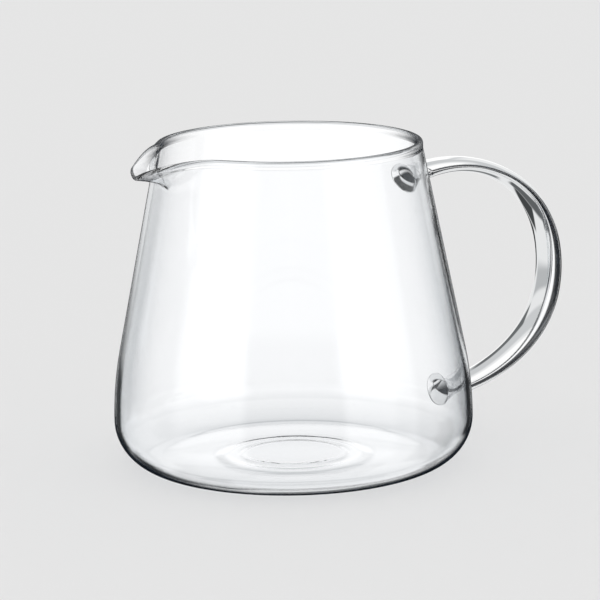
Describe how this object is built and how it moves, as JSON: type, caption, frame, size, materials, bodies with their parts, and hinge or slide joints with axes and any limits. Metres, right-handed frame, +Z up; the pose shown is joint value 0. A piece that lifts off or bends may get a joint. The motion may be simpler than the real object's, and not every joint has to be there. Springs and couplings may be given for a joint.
{
  "type": "coffee server carafe",
  "caption": "Clear heatproof glass coffee server: tapered round jug with a pulled spout, fire-polished rim and an open flattened glass strap handle.",
  "frame": {"origin": "centre of the foot, on the jug's axis, in the plane of the table", "axes": "+Z up along the jug's axis, +X towards the handle, -X towards the spout"},
  "size_m": [0.1673, 0.12, 0.1085],
  "materials": {
    "blown_glass": "clear blown borosilicate glass, fire-polished",
    "strap_glass": "clear drawn borosilicate glass, lightly streaked along its length",
    "weld_glass": "clear flame-fused borosilicate glass, softly rippled"
  },
  "bodies": {
    "root": {"vessel": "blown_glass", "handle": "strap_glass", "upper_weld": "weld_glass", "lower_weld": "weld_glass"}
  },
  "joints": []
}
